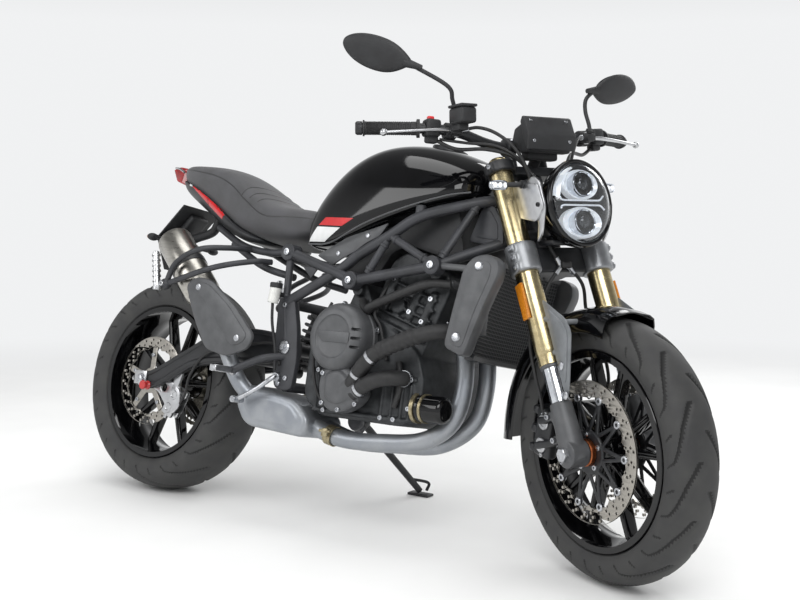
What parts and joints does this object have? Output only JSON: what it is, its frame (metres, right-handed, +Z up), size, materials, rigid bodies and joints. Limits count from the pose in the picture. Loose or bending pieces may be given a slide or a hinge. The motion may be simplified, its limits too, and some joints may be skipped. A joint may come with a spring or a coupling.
{
  "type": "standard motorcycle",
  "caption": "Standard motorcycle leaning on its side stand, with a tube trellis frame, fork, handlebar, spoked wheels, engine, tank, seat, exhaust and lamps.",
  "frame": {"origin": "centre of the footprint of the whole parked motorcycle, on the floor", "axes": "+X forward, +Y to the rider's left, +Z up; the motorcycle leans to its left on its side stand"},
  "size_m": [2.052, 0.8486, 1.2704],
  "materials": {
    "brushed_steel": "brushed steel",
    "cover_grey": "matte grey paint",
    "disc_steel": "ground steel",
    "engine_grey": "dark cast and painted",
    "fork_gold": "gold anodised",
    "frame_grey": "matte dark grey powder coat",
    "gloss_black": "gloss black paint",
    "hose_rubber": "black rubber",
    "lamp_clear": "clear lens",
    "lamp_red": "red lens",
    "pipe_grey": "heat-dulled grey steel",
    "satin_black": "satin black coat",
    "seat_grey": "matte dark grey cover",
    "tyre_rubber": "worn black rubber"
  },
  "bodies": {
    "chassis": {"airbox": "engine_grey", "clutch_cover": "cover_grey", "coolant_hoses": "satin_black", "drive_chain": "brushed_steel", "engine": "engine_grey", "exhaust": "pipe_grey", "fuel_tank": "gloss_black", "generator_cover": "cover_grey", "main_frame": "frame_grey", "oil_filter": "gloss_black", "plate_bracket": "satin_black", "radiator": "satin_black", "rear_axle": "brushed_steel", "rear_caliper": "brushed_steel", "rear_frame": "frame_grey", "seat": "seat_grey", "shock_absorber": "brushed_steel", "silencer": "brushed_steel", "silencer_guard": "cover_grey", "swingarm": "satin_black", "tail_cover": "satin_black", "tail_lamp": "lamp_red"},
    "fork": {"brake_control": "satin_black", "brake_hoses": "hose_rubber", "clutch_control": "satin_black", "dash": "satin_black", "fork_clamps": "satin_black", "fork_leg_left": "satin_black", "fork_leg_right": "satin_black", "fork_tube_left": "fork_gold", "fork_tube_right": "fork_gold", "front_axle": "brushed_steel", "front_caliper_left": "satin_black", "front_caliper_right": "satin_black", "front_fender": "gloss_black", "handlebar": "satin_black", "headlight_bowl": "gloss_black", "headlight_bracket": "satin_black", "headlight_lens": "lamp_clear", "mirror_left": "satin_black", "mirror_right": "satin_black"},
    "front_wheel": {"front_discs": "disc_steel", "front_tyre": "tyre_rubber", "front_wheel": "gloss_black"},
    "rear_wheel": {"rear_disc": "disc_steel", "rear_sprocket": "brushed_steel", "rear_tyre": "tyre_rubber", "rear_wheel": "gloss_black"},
    "side_stand": {"side_stand": "satin_black"}
  },
  "joints": [
    {"name": "steering", "type": "hinge", "parent": "chassis", "child": "fork", "pos_m": [0.43274, -0.01044, 0.9359], "axis": [-0.4013, 0.1898, 0.8961], "range_deg": [0, 53.5]},
    {"name": "front_wheel_spin", "type": "hinge", "parent": "fork", "child": "front_wheel", "pos_m": [0.74597, -0.15796, 0.30703], "axis": [0.4126, 0.9109, -0.0082], "continuous": true},
    {"name": "rear_wheel_spin", "type": "hinge", "parent": "chassis", "child": "rear_wheel", "pos_m": [-0.711, -0.14088, 0.31755], "axis": [0.0004, 0.9783, -0.2071], "continuous": true},
    {"name": "side_stand_fold", "type": "hinge", "parent": "chassis", "child": "side_stand", "pos_m": [-0.12292, 0.0334, 0.23878], "axis": [0.1647, 0.7625, 0.6257], "range_deg": [0, 100]}
  ]
}
